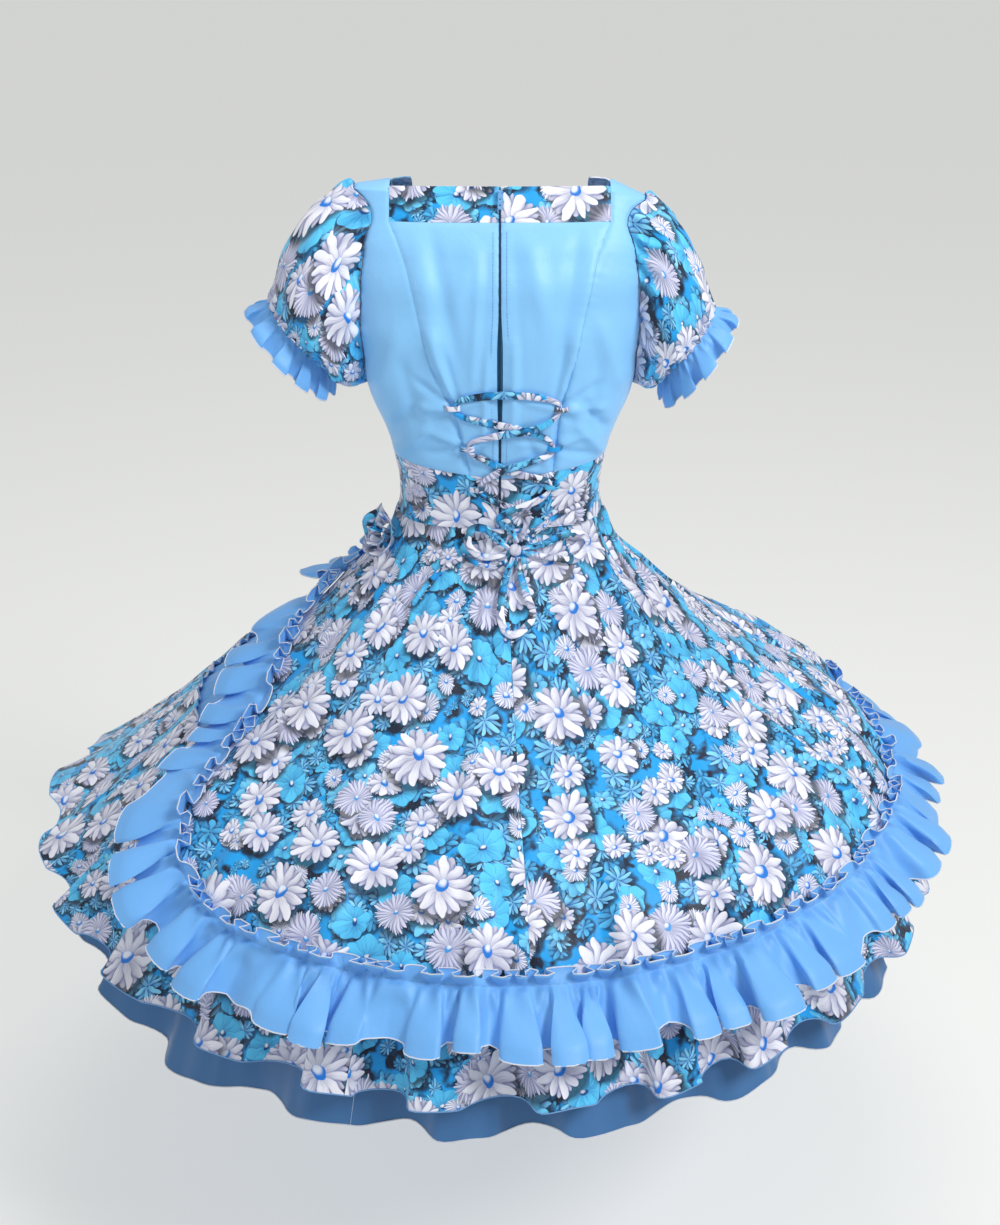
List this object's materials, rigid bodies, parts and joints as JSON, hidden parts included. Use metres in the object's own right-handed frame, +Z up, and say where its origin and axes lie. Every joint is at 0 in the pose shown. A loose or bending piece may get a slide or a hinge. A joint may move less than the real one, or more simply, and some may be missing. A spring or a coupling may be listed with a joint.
{
  "type": "cueca dress",
  "caption": "Dance dress with puff sleeves, laced fitted bodice, flowered overskirt open at one hip, ruffled edge and flounced underskirt.",
  "frame": {"origin": "between the shoulders, level with the top of the straps at the neck, where the wearer holds the dress up", "axes": "+Z up; -Y is the back, which the picture shows; +X is the right-hand side of the picture"},
  "size_m": [1.2598, 1.2161, 1.012],
  "materials": {
    "flowered_satin": "printed satin, soft sheen",
    "sky_satin": "plain satin, soft sheen",
    "sky_lining_satin": "plain satin, soft sheen",
    "zip_tape_weave": "matt woven tape",
    "zip_enamel": "semi-gloss enamel"
  },
  "bodies": {
    "dress": {"back_centre_left": "sky_satin", "back_centre_right": "sky_satin", "back_side_left": "sky_satin", "back_side_right": "sky_satin", "bow_knot": "flowered_satin", "bow_loop_hanging": "flowered_satin", "bow_loop_left": "flowered_satin", "bow_loop_right": "flowered_satin", "flounce_1": "flowered_satin", "flounce_2": "flowered_satin", "flounce_3": "flowered_satin", "flounce_4": "flowered_satin", "front_centre": "sky_satin", "front_side_left": "sky_satin", "front_side_right": "sky_satin", "hip_rosette": "flowered_satin", "lace": "flowered_satin", "lace_end_left": "flowered_satin", "lace_end_right": "flowered_satin", "lace_loop_left_bottom": "flowered_satin", "lace_loop_left_middle": "flowered_satin", "lace_loop_left_top": "flowered_satin", "lace_loop_right_bottom": "flowered_satin", "lace_loop_right_middle": "flowered_satin", "lace_loop_right_top": "flowered_satin", "low_flounce_1": "sky_lining_satin", "low_flounce_2": "sky_lining_satin", "low_flounce_3": "sky_lining_satin", "low_flounce_4": "sky_lining_satin", "neck_band_left": "flowered_satin", "neck_band_right": "flowered_satin", "neck_trim_front": "flowered_satin", "neck_trim_left": "flowered_satin", "neck_trim_right": "flowered_satin", "overskirt_back_left": "flowered_satin", "overskirt_back_right": "flowered_satin", "overskirt_front_left": "flowered_satin", "overskirt_front_right": "flowered_satin", "overskirt_right": "flowered_satin", "overskirt_ruffle_1": "sky_satin", "overskirt_ruffle_2": "sky_satin", "overskirt_ruffle_3": "sky_satin", "overskirt_ruffle_4": "sky_satin", "sleeve_left": "flowered_satin", "sleeve_right": "flowered_satin", "sleeve_ruffle_left": "sky_satin", "sleeve_ruffle_right": "sky_satin", "underskirt_back_left": "sky_satin", "underskirt_back_right": "sky_satin", "underskirt_front_left": "sky_satin", "underskirt_front_right": "sky_satin", "waist_back_left": "flowered_satin", "waist_back_right": "flowered_satin", "waist_front": "flowered_satin", "zip_slider": "zip_enamel", "zip_tape": "zip_tape_weave"},
    "zip_pull": {"zip_pull": "zip_enamel"}
  },
  "joints": [
    {"name": "zip_pull_swing", "type": "hinge", "parent": "dress", "child": "zip_pull", "pos_m": [0, -0.04137, 0.0013], "axis": [-1, 0, 0], "range_deg": [0, 150]}
  ]
}
